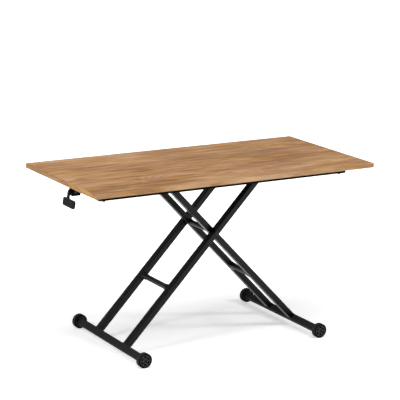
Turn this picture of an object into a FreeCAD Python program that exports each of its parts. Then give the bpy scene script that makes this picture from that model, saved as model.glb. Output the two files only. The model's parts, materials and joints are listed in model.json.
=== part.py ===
import FreeCAD, Part
import math
import os

# Folding desk on a scissor frame, millimetres, +Z up.
# The origin is on the floor, under the middle of the board.

# Board and its edge bands
top_length = 1200.0
top_width = 600.0
board_thickness = 18.0
band_thickness = 1.5
band_arris = 0.8

# Scissor frame as it stands, and the limits of its fold
leg_angle = 46.3
lowest_angle = 8.0
highest_angle = 54.0
lower_arm = 560.5
upper_arm = 297.5
frame_shift = -1.5

# Leg tubes
leg_width = 30.0
leg_depth = 23.5
leg_wall = 1.5
leg_corner = 3.0
leg_gap = 2.0
inner_leg_spread = 164.5

# Round crossbars low on each leg pair
crossbar_reach = 277.0
crossbar_radius = 10.0
crossbar_wall = 1.5
crossbar_flare = 4.5
crossbar_flare_length = 7.0
crossbar_waist = 1.1
crossbar_neck_length = 2.3

# Foot bars and wheels
foot_height = 28.0
foot_depth = 26.0
foot_wall = 1.5
wheel_radius = 28.5
wheel_width = 25.0
wheel_track = 544.0
wheel_gap = 1.0
plug_flange = 3.0
plug_depth = 26.0
plug_boss_radius = 9.0
wheel_axle_radius = 4.0
wheel_head_radius = 7.0
wheel_head_height = 3.0
wheel_head_crown = 1.8

# Wheel hub and tyre
hub_radius = 21.0
hub_width = 21.0
hub_boss_radius = 9.0
hub_recess_radius = 8.0
hub_recess_depth = 5.0
hub_rim = 2.5
hub_pocket_depth = 7.0
hub_spokes = 6
hub_spoke_width = 3.4
tyre_shoulder = 3.5
tyre_round = 1.2
tyre_bead = 1.8
tyre_groove_width = 2.0
tyre_groove_depth = 1.0

# Rails under the board
rail_length = 1066.0
rail_shift = -4.5
rail_height = 32.0
rail_depth = 25.0
rail_wall = 2.0
rail_bend = 2.0
rail_inset = 89.0
stop_length = 36.0
stop_cap = 2.0
stop_slack = 0.2
end_bolt_inset = 20.0
end_bolt_radius = 3.0
end_bolt_head_radius = 6.0
end_bolt_head_height = 5.0
end_bolt_crown = 2.5
end_bolt_length = 14.0

# Screws into the board
screw_radius = 2.0
screw_head_radius = 4.0
screw_head_height = 2.4
screw_reach = 12.0
screw_access_radius = 5.0
screw_margin = 60.0
left_screw_count = 2
right_screw_count = 4

# Axles, bushes and rollers
axle_radius = 6.0
axle_bolt_radius = 3.0
axle_bolt_depth = 18.0
axle_bolt_head_radius = 7.0
axle_bolt_head_height = 4.4
axle_bolt_crown = 2.2
spacer_radius = 8.5
bush_radius = 7.5
bush_flange_radius = 9.5
bush_flange = 1.6
bush_split = 2.0
thrust_gap = 0.4
roller_width = 16.0
roller_play = 0.3
roller_recess_depth = 2.0
roller_rim = 3.0
axle_clip_radius = 8.5
axle_clip = 1.0
centre_tube_radius = 10.0
centre_cap_radius = 9.0
centre_cap_height = 3.2
centre_cap_crown = 1.9
centre_cap_depth = 6.0

# Gas spring and its carriage
cylinder_radius = 11.0
cylinder_wall = 1.3
cylinder_spare = 52.0
cylinder_end = 6.0
gland_length = 18.0
gland_lip = 4.0
piston_length = 14.0
piston_play = 0.15
rod_radius = 5.0
block_length = 36.0
block_width = 38.0
block_height = 25.0
block_corner = 4.0
axle_socket_depth = 5.0

# Lever bracket, rod anchor and release lever
bracket_end_inset = 40.0
bracket_length = 122.0
bracket_drop = 51.0
bracket_nose_cut = 30.0
bracket_nose_drop = 42.0
bracket_flat_length = 37.0
bracket_step_length = 4.0
bracket_waist_drop = 33.0
bracket_tail_drop = 22.0
bracket_inner_width = 28.0
bracket_wall = 3.0
bracket_corner = 4.0
bracket_screw_pitch = 16.0
bracket_screw_inset = 9.0
anchor_inset = 48.0
anchor_thickness = 12.0
anchor_drop = 26.0
nut_height = 8.0
nut_across_flats = 17.0
nut_sides = 6
rod_tip_length = 10.0
release_pin_radius = 2.5
release_pin_length = 22.0
release_pin_stand = 6.0
release_pin_cap = 1.5
lever_pin_inset = 17.0
lever_pin_drop = 37.0
lever_pin_radius = 3.0
lever_pin_head_radius = 5.0
lever_pin_head = 2.0
lever_hub_radius = 7.0
lever_throw = 10.0
finger_width = 10.0
finger_depth = 6.0
finger_tip = 4.0
stem_width = 13.0
stem_offset = 5.0
stem_depth = 6.0
stem_end_gap = 1.5
stem_bend = 14.0
stem_fillet = 6.0
paddle_width = 94.5
paddle_height = 30.8
paddle_offset = -7.6
paddle_corner = 9.0
paddle_drop = 40.3
lever_tilt = 9.0
paddle_rim = 3.5
paddle_dish = 1.2

# Clearances, and how far an edge may turn and still count as running along a direction
running_fit = 0.06
seat_fit = 0.05
touch_gap = 0.3
parallel_angle = 2.5

# Worked-out heights and places
angle = math.radians(leg_angle)
pivot_x = frame_shift
pivot_z = wheel_radius + lower_arm * math.sin(angle)
axle_z = pivot_z + upper_arm * math.sin(angle)
underside_z = axle_z + rail_height / 2
surface_z = underside_z + board_thickness
fixed_axle_x = pivot_x + upper_arm * math.cos(angle)
carriage_x = pivot_x - upper_arm * math.cos(angle)
carriage_low_x = fixed_axle_x - 2 * upper_arm * math.cos(math.radians(lowest_angle))
carriage_high_x = fixed_axle_x - 2 * upper_arm * math.cos(math.radians(highest_angle))
stroke = carriage_high_x - carriage_low_x

inner_leg_y = inner_leg_spread / 2
outer_leg_y = inner_leg_y + leg_width + leg_gap
inner_leg_inside = inner_leg_y - leg_width / 2
inner_leg_outside = inner_leg_y + leg_width / 2
outer_leg_inside = outer_leg_y - leg_width / 2
outer_leg_outside = outer_leg_y + leg_width / 2
bush_stand = bush_flange + thrust_gap

wheel_y = wheel_track / 2
wheel_inside = wheel_y - wheel_width / 2
wheel_outside = wheel_y + wheel_width / 2
foot_half = wheel_inside - wheel_gap - plug_flange

rail_outside = top_width / 2 - rail_inset
rail_web_inside = rail_outside - rail_wall
rail_lip = rail_outside - rail_depth
rail_middle = rail_outside - rail_depth / 2
rail_left = rail_shift - rail_length / 2
rail_right = rail_shift + rail_length / 2
rail_low = underside_z - rail_height
roller_radius = rail_height / 2 - rail_wall - roller_play
roller_outside = rail_web_inside - axle_clip - 2 * thrust_gap
roller_inside = roller_outside - roller_width

bracket_left = -top_length / 2 + bracket_end_inset
bracket_right = bracket_left + bracket_length
bracket_web_left = bracket_left + bracket_nose_cut
bracket_half = bracket_inner_width / 2 + bracket_wall
bracket_low = underside_z - bracket_drop
anchor_left = bracket_left + anchor_inset
anchor_right = anchor_left + anchor_thickness
rod_tip_x = anchor_left - nut_height - rod_tip_length
lever_x = bracket_left + lever_pin_inset
lever_outside = bracket_left - stem_end_gap
lever_z = underside_z - lever_pin_drop
pin_end_x = rod_tip_x - release_pin_stand
cylinder_left = carriage_x - block_length / 2
cylinder_right = cylinder_left + stroke + cylinder_spare
piston_right = cylinder_left + gland_length + (carriage_high_x - carriage_x) + gland_lip + piston_length
bore_radius = cylinder_radius - cylinder_wall


def vec(x, y, z):
    return FreeCAD.Vector(x, y, z)


ORIGIN = vec(0, 0, 0)
ALONG_X = vec(1, 0, 0)
ALONG_Y = vec(0, 1, 0)
ALONG_Z = vec(0, 0, 1)


def block(x_low, x_high, y_low, y_high, z_low, z_high):
    corner = vec(x_low, y_low, z_low)
    return Part.makeBox(x_high - x_low, y_high - y_low, z_high - z_low, corner)


def round_y(radius, x, z, y_low, y_high):
    return Part.makeCylinder(radius, y_high - y_low, vec(x, y_low, z), ALONG_Y)


def round_x(radius, y, z, x_low, x_high):
    return Part.makeCylinder(radius, x_high - x_low, vec(x_low, y, z), ALONG_X)


def round_z(radius, x, y, z_low, z_high):
    return Part.makeCylinder(radius, z_high - z_low, vec(x, y, z_low), ALONG_Z)


def sleeve_y(outer, inner, x, z, y_low, y_high):
    return round_y(outer, x, z, y_low, y_high).cut(round_y(inner, x, z, y_low, y_high))


def outline_face(points):
    corners = [vec(*point) for point in points]
    return Part.Face(Part.makePolygon(corners + corners[:1]))


def spin_y(profile):
    """Turn an outline of radius and y pairs about the Y axis."""
    face = outline_face([(radius, y, 0) for radius, y in profile])
    return face.revolve(ORIGIN, ALONG_Y, 360)


def spin_x(profile):
    """Turn an outline of x and radius pairs about the X axis."""
    face = outline_face([(x, 0, radius) for x, radius in profile])
    return face.revolve(ORIGIN, ALONG_X, 360)


def moved(shape, x, y, z):
    copy = shape.copy()
    copy.translate(vec(x, y, z))
    return copy


def other_side(shape):
    """The same piece on the other side of the desk's long middle plane."""
    return shape.mirror(ORIGIN, ALONG_Y)


def both_sides(shape):
    return [shape, other_side(shape)]


def rounded(shape, radius, chooses):
    return shape.makeFillet(radius, [edge for edge in shape.Edges if chooses(edge)])


def runs_along(edge, direction):
    if not isinstance(edge.Curve, Part.Line):
        return False
    return abs(edge.Curve.Direction.dot(direction)) > math.cos(math.radians(parallel_angle))


def fuse_all(shapes):
    return shapes[0].fuse(shapes[1:]).removeSplitter()


def save(node, *solids):
    shape = solids[0]
    if len(solids) > 1:
        shape = Part.makeCompound(list(solids))
    shape.exportStep("parts/" + node + ".step")


os.makedirs("parts", exist_ok=True)


# Board: one flat panel with holes for its screws, and four bands glued on its edges.

def spread(first, last, count):
    step = (last - first) / (count - 1)
    return [first + step * index for index in range(count)]


rail_screw_xs = spread(rail_left + screw_margin, carriage_low_x - 2 * roller_radius, left_screw_count)
rail_screw_xs += spread(carriage_high_x + 2 * roller_radius, rail_right - screw_margin, right_screw_count)
bracket_screw_xs = [bracket_web_left + bracket_screw_inset, bracket_right - bracket_screw_inset]
rail_screw_spots = [(x, side * rail_middle) for x in rail_screw_xs for side in (-1, 1)]
bracket_screw_spots = [(x, side * bracket_screw_pitch / 2) for x in bracket_screw_xs for side in (-1, 1)]


def board_screw(x, y, head_top):
    shank = round_z(screw_radius, x, y, head_top, underside_z + screw_reach)
    head = round_z(screw_head_radius, x, y, head_top - screw_head_height, head_top)
    return shank.fuse(head).removeSplitter()


def screw_hole(x, y, low, high):
    return round_z(screw_radius + seat_fit, x, y, low, high)


core_x = top_length / 2 - band_thickness
core_y = top_width / 2 - band_thickness
board = block(-core_x, core_x, -core_y, core_y, underside_z, surface_z)
pilot_holes = [
    screw_hole(x, y, underside_z - seat_fit, underside_z + screw_reach + seat_fit)
    for x, y in rail_screw_spots + bracket_screw_spots
]
save("table_top", board.cut(pilot_holes))


def edge_band(x_low, x_high, y_low, y_high, outward):
    strip = block(x_low, x_high, y_low, y_high, underside_z, surface_z)
    face = max(strip.Faces, key=lambda side: side.CenterOfMass.dot(outward))
    long_edges = [edge for edge in face.Edges if not runs_along(edge, ALONG_Z)]
    return strip.makeFillet(band_arris, long_edges)


half_x = top_length / 2
half_y = top_width / 2
save("edge_band_front", edge_band(-half_x, half_x, -half_y, -core_y, vec(0, -1, 0)))
save("edge_band_rear", edge_band(-half_x, half_x, core_y, half_y, vec(0, 1, 0)))
save("edge_band_left", edge_band(-half_x, -core_x, -core_y, core_y, vec(-1, 0, 0)))
save("edge_band_right", edge_band(core_x, half_x, -core_y, core_y, vec(1, 0, 0)))


# Rails: channels welded from three steel strips, open towards each other and screwed under the board.

def front_rail():
    """The upper flange, the web and the lower flange of one channel."""
    flange_low = underside_z - rail_wall
    flange_high = rail_low + rail_wall
    outer = block(rail_left, rail_right, -rail_outside, -rail_lip, rail_low, underside_z)
    outer = rounded(outer, rail_bend, lambda edge: is_rail_bend(edge, -rail_outside))
    cuts = [block(rail_left, rail_right, -rail_web_inside, -rail_lip, flange_high, flange_low)]
    for x in rail_screw_xs:
        cuts.append(screw_hole(x, -rail_middle, flange_low, underside_z))
        cuts.append(round_z(screw_access_radius, x, -rail_middle, rail_low, flange_high))
    for x in end_bolt_xs:
        cuts.append(round_z(end_bolt_radius + seat_fit, x, -rail_middle, rail_low, flange_high))
    cuts.append(
        round_y(axle_bolt_radius + seat_fit, fixed_axle_x, axle_z, -rail_outside, -rail_web_inside))
    channel = outer.cut(cuts)
    strips = []
    for low, high in ((flange_low, underside_z), (flange_high, flange_low), (rail_low, flange_high)):
        layer = block(rail_left, rail_right, -rail_outside, -rail_lip, low, high)
        strips.append(channel.common(layer).Solids[0])
    return strips


def is_rail_bend(edge, y):
    return runs_along(edge, ALONG_X) and abs(edge.CenterOfMass.y - y) < seat_fit


end_bolt_xs = [rail_left + end_bolt_inset, rail_right - end_bolt_inset]
rail_strips = front_rail()
save("rail_front", *rail_strips)
save("rail_rear", *[other_side(strip) for strip in rail_strips])


def end_stop(end, inward):
    """A moulded plug in a rail's end, with a cap over the channel's cut."""
    inside = end + inward * stop_length
    plug = block(
        min(end, inside), max(end, inside), -rail_web_inside + stop_slack, -rail_lip,
        rail_low + rail_wall + stop_slack, underside_z - rail_wall - stop_slack)
    outside = end - inward * stop_cap
    cap = block(
        min(end, outside), max(end, outside), -rail_outside, -rail_lip, rail_low, underside_z)
    cap = rounded(cap, rail_bend, lambda edge: is_rail_bend(edge, -rail_outside))
    bolt_x = end + inward * end_bolt_inset
    hole = round_z(
        end_bolt_radius + seat_fit, bolt_x, -rail_middle, rail_low, rail_low + end_bolt_length)
    return plug.fuse(cap).removeSplitter().cut(hole)


def end_bolt(x):
    shank = round_z(end_bolt_radius, x, -rail_middle, rail_low, rail_low + end_bolt_length - touch_gap)
    head = round_z(end_bolt_head_radius, x, -rail_middle, rail_low - end_bolt_head_height, rail_low)
    crown = [edge for edge in head.Edges if edge.CenterOfMass.z < rail_low - seat_fit and edge.Closed]
    head = head.makeFillet(end_bolt_crown, crown)
    return shank.fuse(head).removeSplitter()


front_stops = [end_stop(rail_left, 1), end_stop(rail_right, -1)]
front_bolts = [end_bolt(x) for x in end_bolt_xs]
save("rail_end_stops", *front_stops, *[other_side(stop) for stop in front_stops])
save("rail_end_bolts", *front_bolts, *[other_side(bolt) for bolt in front_bolts])
rail_screws = [board_screw(x, y, underside_z - rail_wall) for x, y in rail_screw_spots]
bracket_screws = [board_screw(x, y, underside_z - bracket_wall) for x, y in bracket_screw_spots]
save("board_screws", *rail_screws, *bracket_screws)


# Fixed upper axle: a bar between the rails that carries the outer legs, with spacers and end bolts.

def fixed_axle():
    bar = round_y(axle_radius, fixed_axle_x, axle_z, -rail_web_inside, rail_web_inside)
    hole_low = rail_web_inside - axle_bolt_depth
    hole = round_y(axle_bolt_radius + seat_fit, fixed_axle_x, axle_z, hole_low, rail_web_inside)
    return bar.cut(both_sides(hole))


def axle_bolt():
    low = rail_web_inside - axle_bolt_depth + touch_gap
    shank = round_y(axle_bolt_radius, fixed_axle_x, axle_z, low, rail_outside)
    head_out = rail_outside + axle_bolt_head_height
    head = round_y(axle_bolt_head_radius, fixed_axle_x, axle_z, rail_outside, head_out)
    crown = [edge for edge in head.Edges if edge.Closed and edge.CenterOfMass.y > rail_outside + seat_fit]
    head = head.makeFillet(axle_bolt_crown, crown)
    return shank.fuse(head).removeSplitter()


def axle_spacer(x, y_low, y_high):
    return sleeve_y(spacer_radius, axle_radius + seat_fit, x, axle_z, y_low, y_high)


middle_reach = outer_leg_inside - bush_stand
side_reach = outer_leg_outside + bush_stand
side_spacer = axle_spacer(fixed_axle_x, side_reach, rail_web_inside)
save("fixed_axle", fixed_axle())
save("fixed_axle_bolts", *both_sides(axle_bolt()))
save(
    "fixed_axle_spacers", axle_spacer(fixed_axle_x, -middle_reach, middle_reach), *both_sides(side_spacer))


# Leg frames: flat welded frames, made along X from the crossing and then turned to the leg's angle.
# The outer pair leans to the right as it rises, and the inner pair to the left.

def lean(shape, rise):
    turned = shape.copy()
    turned.rotate(ORIGIN, ALONG_Y, -rise)
    turned.translate(vec(pivot_x, 0, pivot_z))
    return turned


outer_rise = leg_angle
inner_rise = 180.0 - leg_angle
leg_foot = foot_height / 2 - lower_arm


def leg_core(half_depth, half_width, foot_end):
    """A straight bar with a half-round upper end about the upper axle."""
    upper_edge = Part.makeLine(vec(upper_arm, 0, half_depth), vec(foot_end, 0, half_depth))
    foot_edge = Part.makeLine(vec(foot_end, 0, half_depth), vec(foot_end, 0, -half_depth))
    lower_edge = Part.makeLine(vec(foot_end, 0, -half_depth), vec(upper_arm, 0, -half_depth))
    nose = Part.Arc(
        vec(upper_arm, 0, -half_depth), vec(upper_arm + half_depth, 0, 0), vec(upper_arm, 0, half_depth))
    wire = Part.Wire([upper_edge, foot_edge, lower_edge, nose.toShape()])
    core = Part.Face(wire).extrude(vec(0, 2 * half_width, 0))
    core.translate(vec(0, -half_width, 0))
    return core


def leg_tube(centre_y, centre_hole_radius):
    outer = leg_core(leg_depth / 2, leg_width / 2, leg_foot)
    outer = rounded(outer, leg_corner, is_leg_corner)
    inner = leg_core(leg_depth / 2 - leg_wall, leg_width / 2 - leg_wall, leg_foot - leg_wall)
    inner = rounded(inner, leg_corner - leg_wall, is_leg_corner)
    top_hole = round_y(bush_radius + seat_fit, upper_arm, 0, -leg_width, leg_width)
    centre_hole = round_y(centre_hole_radius + seat_fit, 0, 0, -leg_width, leg_width)
    tube = outer.cut([inner, top_hole, centre_hole])
    return moved(tube, 0, centre_y, 0)


def is_leg_corner(edge):
    """The long edges of the tube and their arcs round its nose."""
    if runs_along(edge, ALONG_X):
        return True
    return isinstance(edge.Curve, Part.Circle)


def flanged_bush(x, seat_y, inward, length):
    """A nylon bush pushed into a leg from the face at seat_y."""
    flange = sleeve_y(
        bush_flange_radius, axle_radius + running_fit, 0, 0, -bush_flange, 0)
    shank = sleeve_y(bush_radius, axle_radius + running_fit, 0, 0, 0, length)
    bush = flange.fuse(shank).removeSplitter()
    if inward < 0:
        bush = other_side(bush)
    return moved(bush, x, seat_y, 0)


half_bush = (leg_width - bush_split) / 2


def top_bushes(inside, outside):
    pair = [flanged_bush(upper_arm, inside, 1, half_bush), flanged_bush(upper_arm, outside, -1, half_bush)]
    return pair + [other_side(bush) for bush in pair]


def crossbar(half_length):
    """A round tube whose ends open out along the legs and lie flush with their faces."""
    bore = crossbar_radius - crossbar_wall
    flare_start = half_length - crossbar_flare_length
    outer = crossbar_radius + crossbar_flare
    waist = crossbar_radius + crossbar_waist
    neck = half_length - crossbar_neck_length
    profile = [
        (bore, -half_length), (outer, -half_length), (waist, -neck), (crossbar_radius, -flare_start),
        (crossbar_radius, flare_start), (waist, neck), (outer, half_length), (bore, half_length)]
    flush = block(-outer, outer, -half_length, half_length, -leg_depth / 2, leg_depth / 2)
    return moved(spin_y(profile).common(flush), -crossbar_reach, 0, 0)


def foot_core(half_height, half_depth, half_length, corner):
    bar = block(-half_height, half_height, -half_length, half_length, -half_depth, half_depth)
    bar = rounded(bar, corner, lambda edge: runs_along(edge, ALONG_Y))
    return moved(bar, -lower_arm, 0, 0)


def foot_bar():
    outer = foot_core(foot_height / 2, foot_depth / 2, foot_half, leg_corner)
    inner = foot_core(
        foot_height / 2 - foot_wall, foot_depth / 2 - foot_wall, foot_half, leg_corner - foot_wall)
    return outer.cut(inner)


def foot_plug():
    """A moulded plug in the foot bar's end, bored for the wheel's axle."""
    flange = foot_core(foot_height / 2, foot_depth / 2, plug_flange / 2, leg_corner)
    flange = moved(flange, 0, foot_half + plug_flange / 2, 0)
    body = foot_core(
        foot_height / 2 - foot_wall - seat_fit, foot_depth / 2 - foot_wall - seat_fit, plug_depth / 2,
        leg_corner - foot_wall)
    body = moved(body, 0, foot_half - plug_depth / 2, 0)
    boss_out = wheel_inside - touch_gap
    boss = round_y(plug_boss_radius, -lower_arm, 0, foot_half, boss_out)
    hole = round_y(wheel_axle_radius + seat_fit, -lower_arm, 0, foot_half - plug_depth, boss_out)
    return fuse_all([flange, body, boss]).cut(hole)


head_seat = wheel_outside - hub_recess_depth - (wheel_width - hub_width) / 2 + touch_gap


def wheel_axle():
    """A shoulder bolt from the plug out through the wheel, with a domed head."""
    shank = round_y(wheel_axle_radius, -lower_arm, 0, foot_half - plug_depth, head_seat)
    head = round_y(wheel_head_radius, -lower_arm, 0, head_seat, head_seat + wheel_head_height)
    crown = [edge for edge in head.Edges if edge.Closed and edge.CenterOfMass.y > head_seat + seat_fit]
    head = head.makeFillet(wheel_head_crown, crown)
    return shank.fuse(head).removeSplitter()


def save_leaned(node, rise, *solids):
    save(node, *[lean(solid, rise) for solid in solids])


save_leaned("outer_leg_front", outer_rise, leg_tube(-outer_leg_y, axle_radius))
save_leaned("outer_leg_rear", outer_rise, leg_tube(outer_leg_y, axle_radius))
save_leaned("outer_leg_bushes", outer_rise, *top_bushes(outer_leg_inside, outer_leg_outside))
save_leaned("outer_crossbar", outer_rise, crossbar(outer_leg_inside))
save_leaned("left_foot_bar", outer_rise, foot_bar())
save_leaned("left_foot_plugs", outer_rise, *both_sides(foot_plug()))
save_leaned("left_wheel_axles", outer_rise, *both_sides(wheel_axle()))

save_leaned("inner_leg_front", inner_rise, leg_tube(-inner_leg_y, bush_radius))
save_leaned("inner_leg_rear", inner_rise, leg_tube(inner_leg_y, bush_radius))
save_leaned("inner_top_bushes", inner_rise, *top_bushes(inner_leg_inside, inner_leg_outside))
centre_bush = flanged_bush(0, inner_leg_outside, -1, leg_width)
save_leaned("centre_bushes", inner_rise, *both_sides(centre_bush))
save_leaned("inner_crossbar", inner_rise, crossbar(inner_leg_inside))
save_leaned("right_foot_bar", inner_rise, foot_bar())
save_leaned("right_foot_plugs", inner_rise, *both_sides(foot_plug()))
save_leaned("right_wheel_axles", inner_rise, *both_sides(wheel_axle()))


# Centre of the scissor: a shaft through all four legs, a tube between the inner legs, and end caps.

def centre_cap():
    outer_face = outer_leg_outside + centre_cap_height
    cap = round_y(centre_cap_radius, 0, 0, outer_leg_outside, outer_face)
    crown = [edge for edge in cap.Edges if edge.Closed and edge.CenterOfMass.y > outer_leg_outside + seat_fit]
    cap = cap.makeFillet(centre_cap_crown, crown)
    stud = round_y(axle_bolt_radius, 0, 0, outer_leg_outside - centre_cap_depth, outer_leg_outside)
    return cap.fuse(stud).removeSplitter()


def centre_shaft():
    shaft = round_y(axle_radius, 0, 0, -outer_leg_outside, outer_leg_outside)
    hole_low = outer_leg_outside - centre_cap_depth - touch_gap
    hole = round_y(axle_bolt_radius + seat_fit, 0, 0, hole_low, outer_leg_outside)
    return shaft.cut(both_sides(hole))


save_leaned("centre_shaft", outer_rise, centre_shaft())
save_leaned("centre_caps", outer_rise, *both_sides(centre_cap()))
centre_tube = sleeve_y(
    centre_tube_radius, axle_radius + 2 * touch_gap, 0, 0, -inner_leg_inside, inner_leg_inside)
save_leaned("centre_tube", inner_rise, centre_tube)


# Wheels: a moulded hub with spokes and pockets on both faces, and a rubber tyre.

def wheel_hub():
    hub_out = hub_width / 2
    hub_in = -wheel_width / 2
    recess = hub_out - hub_recess_depth
    profile = [
        (wheel_axle_radius + running_fit, hub_in), (hub_boss_radius, hub_in),
        (hub_boss_radius, -hub_out), (hub_radius, -hub_out), (hub_radius, hub_out),
        (hub_recess_radius, hub_out), (hub_recess_radius, recess), (wheel_axle_radius + running_fit, recess)]
    hub = spin_y(profile)
    pockets = hub_pockets(hub_out - hub_pocket_depth, hub_out)
    return hub.cut(both_sides(pockets))


def hub_pockets(floor, face):
    """The ring between a hub's rim and its boss, parted by the spokes."""
    ring_outer = hub_radius - hub_rim
    ring = sleeve_y(ring_outer, hub_recess_radius + hub_rim, 0, 0, floor, face)
    bars = []
    for index in range(hub_spokes):
        bar = block(0, ring_outer, floor, face, -hub_spoke_width / 2, hub_spoke_width / 2)
        bar.rotate(ORIGIN, ALONG_Y, index * 360.0 / hub_spokes)
        bars.append(bar)
    return ring.cut(bars)


def wheel_tyre():
    """A rubber tread with chamfered shoulders and one groove round its middle."""
    side = wheel_width / 2
    shoulder = wheel_radius - tyre_shoulder
    flat = side - tyre_shoulder
    groove = tyre_groove_width / 2
    floor = wheel_radius - tyre_groove_depth
    profile = [
        (hub_radius, -hub_width / 2), (shoulder - tyre_bead, -side), (shoulder, -side),
        (wheel_radius - tyre_round, -flat - tyre_round), (wheel_radius, -flat),
        (wheel_radius, -groove), (floor, -groove), (floor, groove), (wheel_radius, groove),
        (wheel_radius, flat), (wheel_radius - tyre_round, flat + tyre_round),
        (shoulder, side), (shoulder - tyre_bead, side), (hub_radius, hub_width / 2)]
    return spin_y(profile)


left_foot_x = pivot_x - lower_arm * math.cos(angle)
right_foot_x = pivot_x + lower_arm * math.cos(angle)
hub = wheel_hub()
tyre = wheel_tyre()
for foot, foot_x in (("left", left_foot_x), ("right", right_foot_x)):
    save("wheel_" + foot + "_rear_hub", moved(hub, foot_x, wheel_y, wheel_radius))
    save("wheel_" + foot + "_rear_tyre", moved(tyre, foot_x, wheel_y, wheel_radius))
    save("wheel_" + foot + "_front_hub", moved(other_side(hub), foot_x, -wheel_y, wheel_radius))
    save("wheel_" + foot + "_front_tyre", moved(other_side(tyre), foot_x, -wheel_y, wheel_radius))


# Carriage: a block on the gas cylinder's neck, with a half axle to each rail and a roller on its end.

def carriage_block():
    half_x = block_length / 2
    half_y = block_width / 2
    half_z = block_height / 2
    body = block(-half_x, half_x, -half_y, half_y, -half_z, half_z)
    body = rounded(body, block_corner, lambda edge: runs_along(edge, ALONG_X))
    neck = round_x(cylinder_radius + seat_fit, 0, 0, -half_x, half_x)
    socket = round_y(axle_radius + seat_fit, 0, 0, half_y - axle_socket_depth, half_y)
    return moved(body.cut([neck] + both_sides(socket)), carriage_x, 0, axle_z)


def carriage_axle():
    shaft_low = block_width / 2 - axle_socket_depth
    clip_low = roller_outside + thrust_gap
    shaft = round_y(axle_radius, carriage_x, axle_z, shaft_low, clip_low + axle_clip)
    clip = round_y(axle_clip_radius, carriage_x, axle_z, clip_low, clip_low + axle_clip)
    return shaft.fuse(clip).removeSplitter()


def roller():
    """A nylon roller with a shallow dish in each face."""
    half = roller_width / 2
    dish_outer = roller_radius - roller_rim
    dish_inner = axle_radius + roller_rim
    floor = half - roller_recess_depth
    bore = axle_radius + running_fit
    half_profile = [(bore, half), (dish_inner, half), (dish_inner, floor), (dish_outer, floor),
                    (dish_outer, half), (roller_radius, half)]
    mirrored = [(radius, -y) for radius, y in reversed(half_profile)]
    return moved(spin_y(half_profile + mirrored), carriage_x, roller_inside + half, axle_z)


inner_spacer = axle_spacer(carriage_x, block_width / 2, inner_leg_inside - bush_stand)
outer_spacer = axle_spacer(carriage_x, inner_leg_outside + bush_stand, roller_inside - thrust_gap)
save("carriage_block", carriage_block())
save("carriage_axle_rear", carriage_axle())
save("carriage_axle_front", other_side(carriage_axle()))
save("carriage_spacers", *both_sides(inner_spacer), *both_sides(outer_spacer))
save("roller_rear", roller())
save("roller_front", other_side(roller()))


# Gas spring: the cylinder rides on the carriage, and the rod is anchored under the board's left end.

def gas_cylinder():
    bore_end = cylinder_right - cylinder_end
    profile = [
        (cylinder_left, bore_radius), (cylinder_left, cylinder_radius),
        (cylinder_right - cylinder_end / 2, cylinder_radius),
        (cylinder_right, cylinder_radius - cylinder_end / 2), (cylinder_right, 0), (bore_end, 0),
        (bore_end, bore_radius)]
    return moved(spin_x(profile), 0, 0, axle_z)


def gas_gland():
    """The guide in the cylinder's neck that the rod slides through."""
    front = cylinder_left - gland_lip
    guide = rod_radius + running_fit
    profile = [
        (front, guide), (front, cylinder_radius - gland_lip / 2), (front + gland_lip / 2, cylinder_radius),
        (cylinder_left, cylinder_radius), (cylinder_left, bore_radius - seat_fit),
        (cylinder_left + gland_length, bore_radius - seat_fit), (cylinder_left + gland_length, guide)]
    return moved(spin_x(profile), 0, 0, axle_z)


def gas_rod():
    """The rod from its bored tip to its shouldered end in the piston."""
    bore_depth = release_pin_length + lever_throw
    bore = round_x(release_pin_radius + running_fit, 0, axle_z, rod_tip_x, rod_tip_x + bore_depth)
    return round_x(rod_radius, 0, axle_z, rod_tip_x, piston_right).cut(bore)


def gas_piston():
    left = piston_right - piston_length
    disc = round_x(bore_radius - piston_play, 0, axle_z, left, piston_right)
    return disc.cut(round_x(rod_radius + seat_fit, 0, axle_z, left, piston_right))


save("gas_cylinder", gas_cylinder())
save("gas_gland", gas_gland())
save("gas_rod", gas_rod())
save("gas_piston", gas_piston())


# Lever bracket: a folded channel under the board's left end, with a welded plate that anchors the rod.

def lever_bracket():
    flat_end = bracket_left + bracket_flat_length
    tail_low = underside_z - bracket_tail_drop
    nose_high = underside_z - bracket_nose_drop
    side = [
        (bracket_web_left, 0, underside_z), (bracket_left, 0, nose_high), (bracket_left, 0, bracket_low),
        (flat_end, 0, bracket_low), (flat_end + bracket_step_length, 0, underside_z - bracket_waist_drop),
        (bracket_right, 0, tail_low), (bracket_right, 0, underside_z)]
    body = outline_face(side).extrude(vec(0, 2 * bracket_half, 0))
    body.translate(vec(0, -bracket_half, 0))
    body = rounded(body, bracket_corner, is_bracket_corner)
    hollow = block(
        bracket_left, bracket_right, -bracket_inner_width / 2, bracket_inner_width / 2,
        bracket_low, underside_z - bracket_wall)
    cuts = [hollow, round_y(lever_pin_radius + seat_fit, lever_x, lever_z, -bracket_half, bracket_half)]
    for x, y in bracket_screw_spots:
        cuts.append(screw_hole(x, y, underside_z - bracket_wall, underside_z))
    return body.cut(cuts)


def is_bracket_corner(edge):
    return runs_along(edge, ALONG_Y) and edge.CenterOfMass.z < underside_z - seat_fit


def rod_anchor():
    plate = block(
        anchor_left, anchor_right, -bracket_inner_width / 2, bracket_inner_width / 2,
        underside_z - bracket_wall - anchor_drop, underside_z - bracket_wall)
    return plate.cut(round_x(rod_radius + seat_fit, 0, axle_z, anchor_left, anchor_right))


def rod_nut(x_low):
    half_turn = math.pi / nut_sides
    corner_radius = nut_across_flats / 2 / math.cos(half_turn)
    corners = []
    for index in range(nut_sides):
        turn = 2 * half_turn * index
        corners.append((x_low, corner_radius * math.cos(turn), axle_z + corner_radius * math.sin(turn)))
    prism = outline_face(corners).extrude(vec(nut_height, 0, 0))
    return prism.cut(round_x(rod_radius + seat_fit, 0, axle_z, x_low, x_low + nut_height))


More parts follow.
